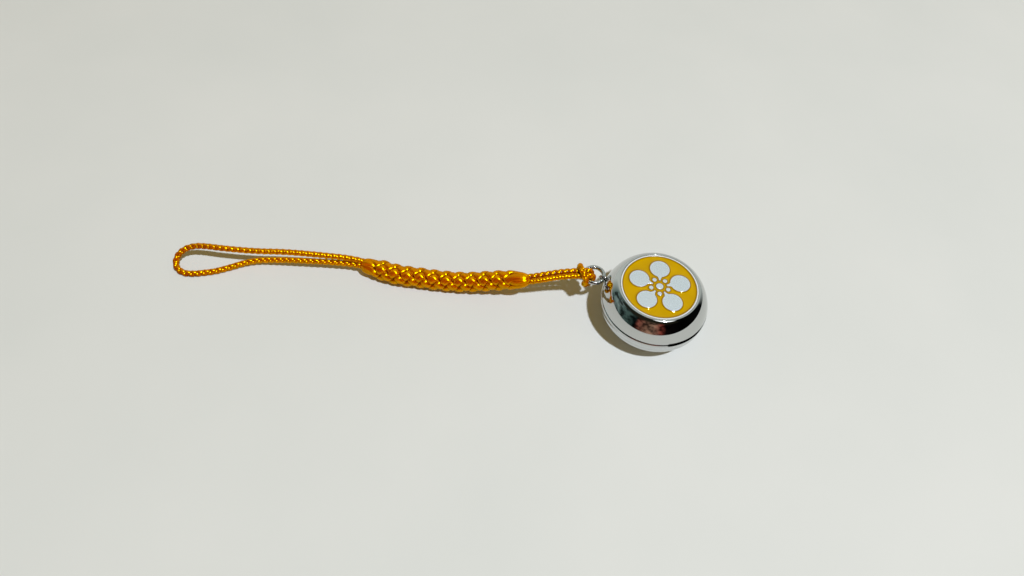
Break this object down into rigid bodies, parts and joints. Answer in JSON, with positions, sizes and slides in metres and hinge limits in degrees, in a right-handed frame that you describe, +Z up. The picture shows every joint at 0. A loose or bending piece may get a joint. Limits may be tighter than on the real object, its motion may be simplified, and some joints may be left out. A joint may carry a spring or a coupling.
{
  "type": "bell charm",
  "caption": "Flat round bell of two pressed half shells with an enamelled blossom medal, hanging by a jump ring from a hitched, braided cord strap with a long thin loop.",
  "frame": {"origin": "middle of the small flat that the bell's domed back stands on, on the surface below it and on the bell's axis", "axes": "+Z up along the bell's axis to the medal; +X away from the jump ring, towards the middle of the sound slot; the strap lies towards -X and -Y"},
  "size_m": [0.0897, 0.0383, 0.01],
  "materials": {
    "chromed_shell": "bright chrome plate on pressed brass sheet",
    "chromed_wire": "bright chrome plate on drawn wire",
    "medal_metal": "fine matt silver on a die-struck plate, with a bright rim",
    "yellow_enamel": "glossy warm yellow enamel filling",
    "pellet_steel": "plain steel ball",
    "golden_cord": "shiny braided artificial silk in golden yellow with red-brown gaps"
  },
  "bodies": {
    "bell": {"back_shell": "chromed_shell", "face_shell": "chromed_shell", "crest_plate": "medal_metal", "enamel_field": "yellow_enamel", "hanger_eye": "chromed_wire"},
    "pellet": {"pellet": "pellet_steel"},
    "jump_ring": {"jump_ring": "chromed_wire"},
    "strap": {"ring_hitch": "golden_cord", "cord_leg_far": "golden_cord", "cord_leg_near": "golden_cord", "braid": "golden_cord", "strap_loop": "golden_cord"}
  },
  "joints": [
    {"name": "ring_swing", "type": "hinge", "parent": "bell", "child": "jump_ring", "pos_m": [-0.0095, 0, 0.0061], "axis": [0, 1, 0], "range_deg": [-50, 50]},
    {"name": "strap_swing", "type": "hinge", "parent": "jump_ring", "child": "strap", "pos_m": [-0.0112, 0, 0.0061], "axis": [0, 0, 1], "range_deg": [-110, 38]},
    {"name": "pellet_roll", "type": "hinge", "parent": "bell", "child": "pellet", "pos_m": [0, 0, 0.01392], "axis": [0, 1, 0], "range_deg": [-30, 30]}
  ]
}
